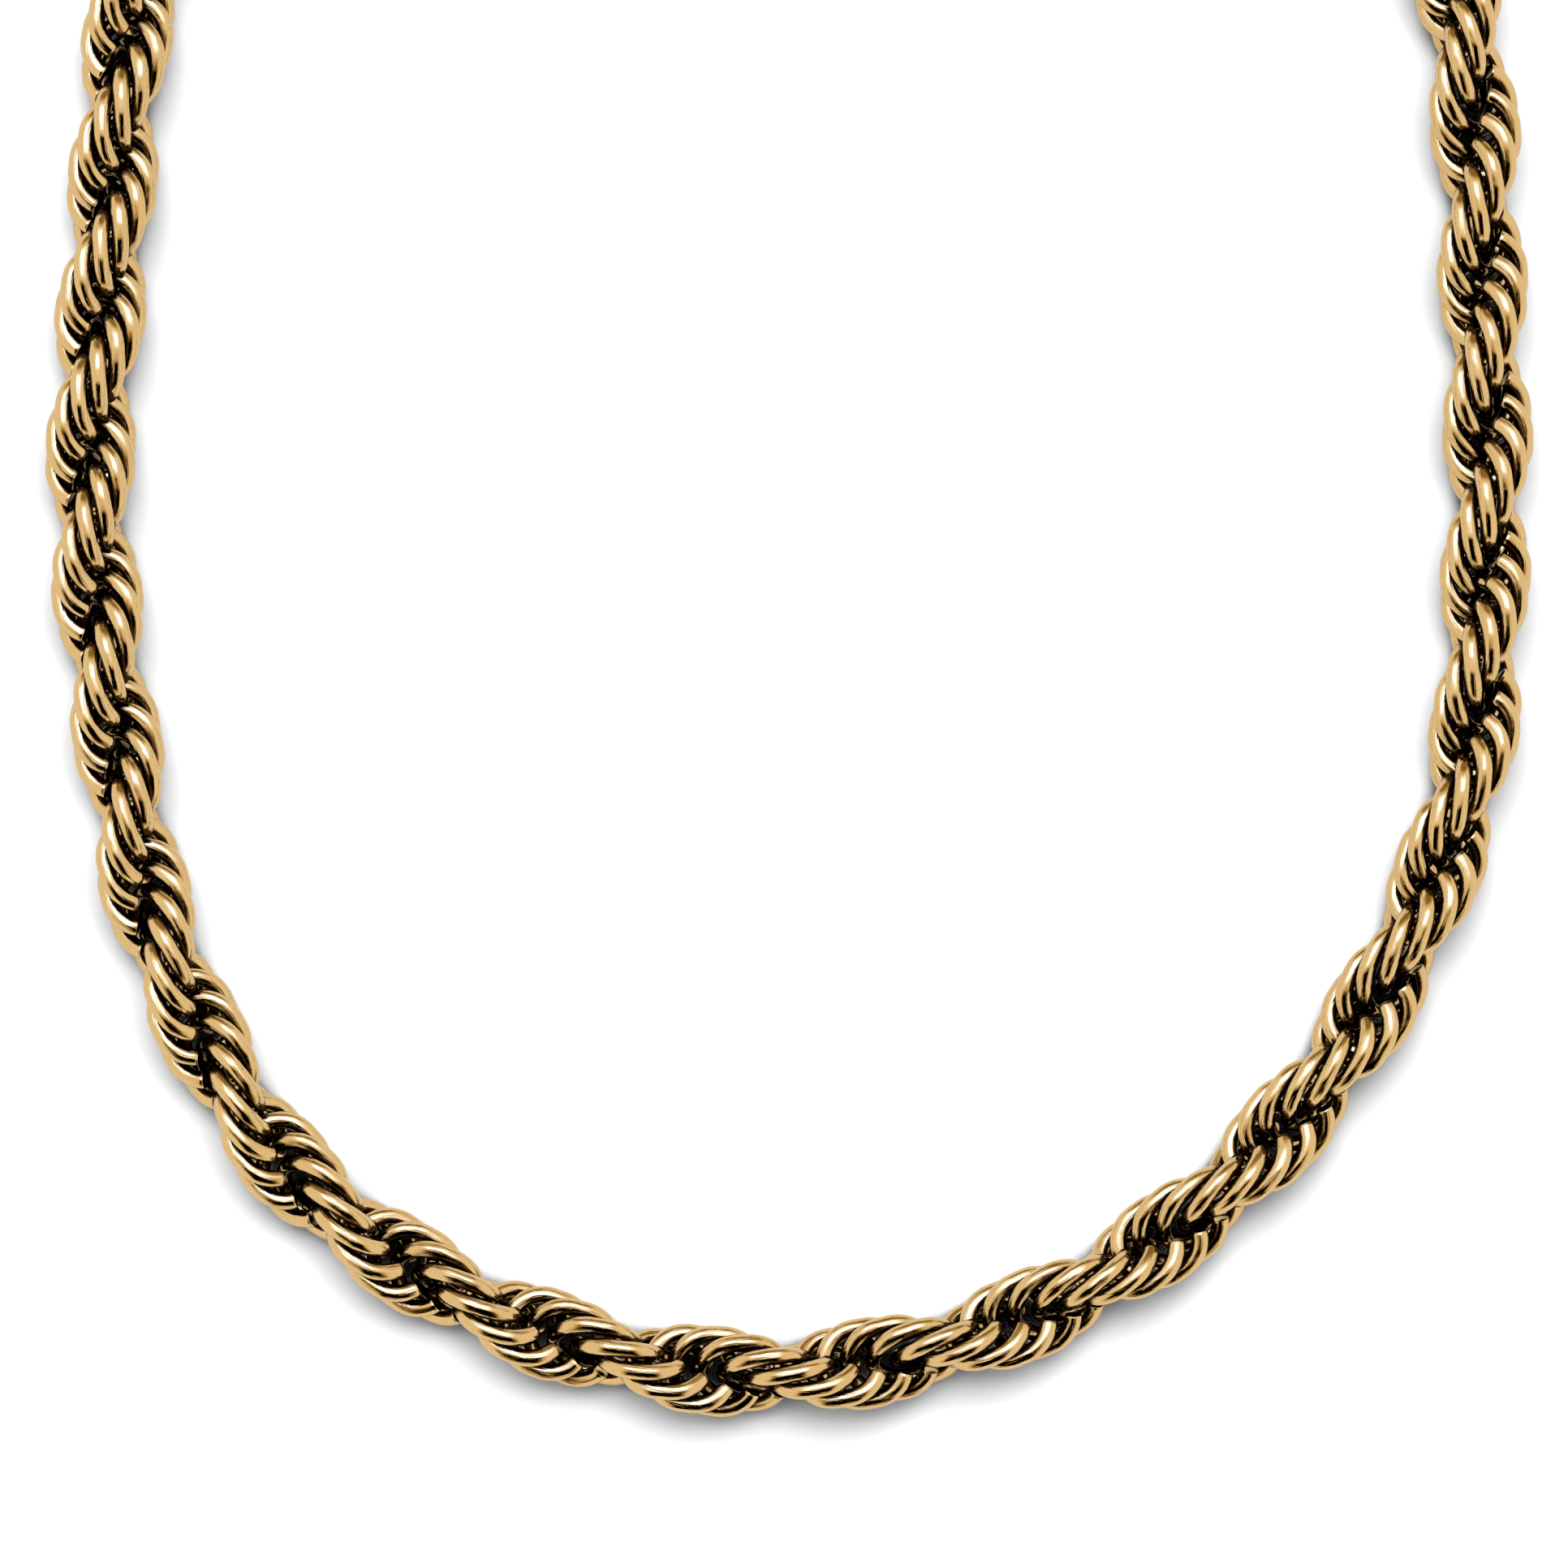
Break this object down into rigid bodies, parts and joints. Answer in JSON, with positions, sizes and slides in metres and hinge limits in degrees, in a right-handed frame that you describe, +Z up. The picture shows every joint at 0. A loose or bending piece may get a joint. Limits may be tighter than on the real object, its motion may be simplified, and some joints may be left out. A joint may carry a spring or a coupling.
{
  "type": "rope chain necklace",
  "caption": "Closed oval loop of thick twisted rope chain, made of open wire links in polished gold-coloured metal, laid flat with a plain barrel clasp.",
  "frame": {"origin": "on the surface that the necklace lies on, under the middle of the whole loop", "axes": "+X across the loop, +Y along the loop towards the clasp, +Z up from the surface"},
  "size_m": [0.1397, 0.1919, 0.0104],
  "materials": {
    "rope_gold": "mirror polished, gold-coloured",
    "clasp_gold": "mirror polished, gold-coloured"
  },
  "bodies": {
    "root": {"clasp": "clasp_gold", "rope_01": "rope_gold", "rope_02": "rope_gold", "rope_03": "rope_gold", "rope_04": "rope_gold", "rope_05": "rope_gold", "rope_06": "rope_gold", "rope_07": "rope_gold", "rope_08": "rope_gold", "rope_09": "rope_gold", "rope_10": "rope_gold", "rope_11": "rope_gold", "rope_12": "rope_gold", "rope_13": "rope_gold", "rope_14": "rope_gold", "rope_15": "rope_gold", "rope_16": "rope_gold", "rope_17": "rope_gold", "rope_18": "rope_gold", "rope_19": "rope_gold", "rope_20": "rope_gold", "rope_21": "rope_gold", "rope_22": "rope_gold", "rope_23": "rope_gold", "rope_24": "rope_gold", "rope_25": "rope_gold"}
  },
  "joints": []
}
